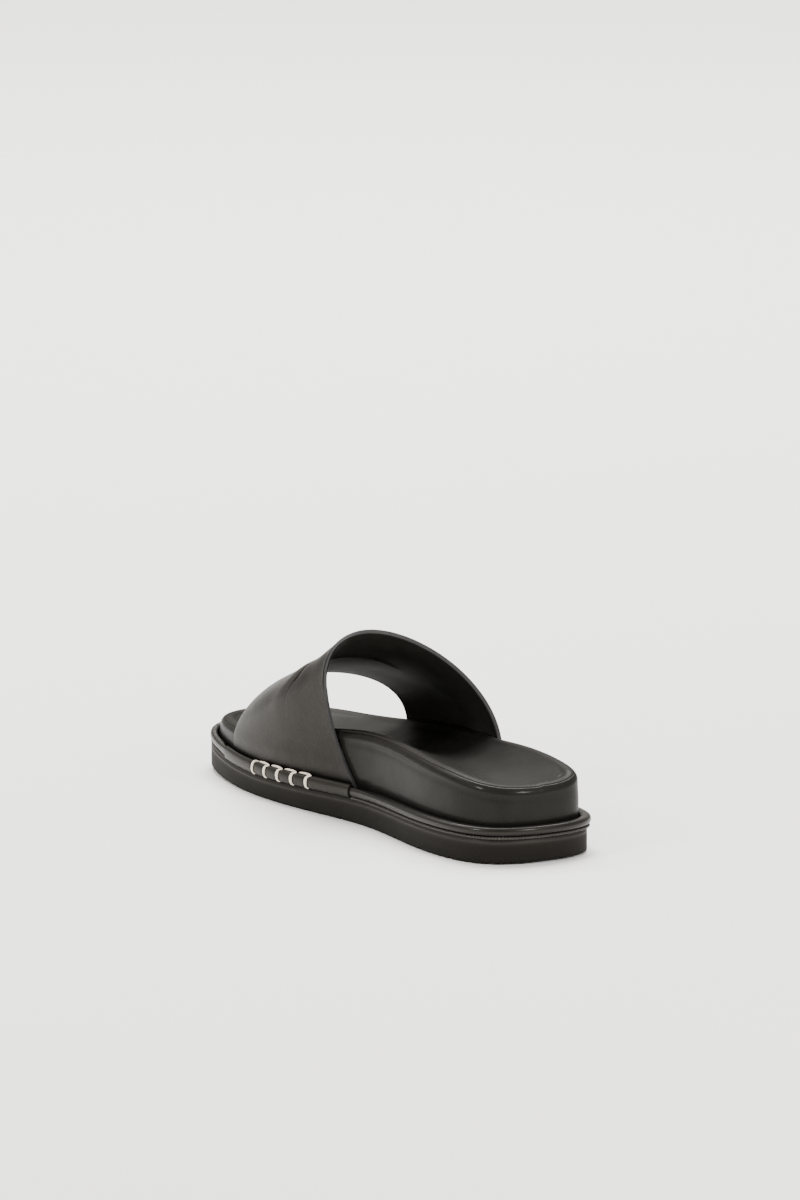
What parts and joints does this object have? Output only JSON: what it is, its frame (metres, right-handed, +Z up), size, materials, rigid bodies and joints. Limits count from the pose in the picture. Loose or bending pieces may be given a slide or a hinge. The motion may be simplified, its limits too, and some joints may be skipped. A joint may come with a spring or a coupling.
{
  "type": "slide sandal",
  "caption": "Right-foot slide sandal: one wide black leather band over a wrapped, moulded footbed with a high arch, on a flat rubber sole with a rounded rand.",
  "frame": {"origin": "on the floor, under the middle of the shoe's bounding box", "axes": "+X towards the toe, +Y towards the inner side of the foot, +Z up"},
  "size_m": [0.2924, 0.1126, 0.0968],
  "materials": {
    "sole_rubber": "matt moulded black rubber",
    "rand_rubber": "satin black rubber",
    "sleeve_leather": "smooth black leather, rolled",
    "footbed_leather": "smooth black leather, wrapped, satin",
    "sock_leather": "smooth black lining leather, satin",
    "band_leather": "smooth black leather, soft sheen",
    "thread": "waxed cream thread"
  },
  "bodies": {
    "root": {"outsole": "sole_rubber", "welt": "rand_rubber", "rand": "rand_rubber", "rand_sleeve": "sleeve_leather", "footbed": "footbed_leather", "insole": "sock_leather", "upper": "band_leather"}
  },
  "joints": []
}
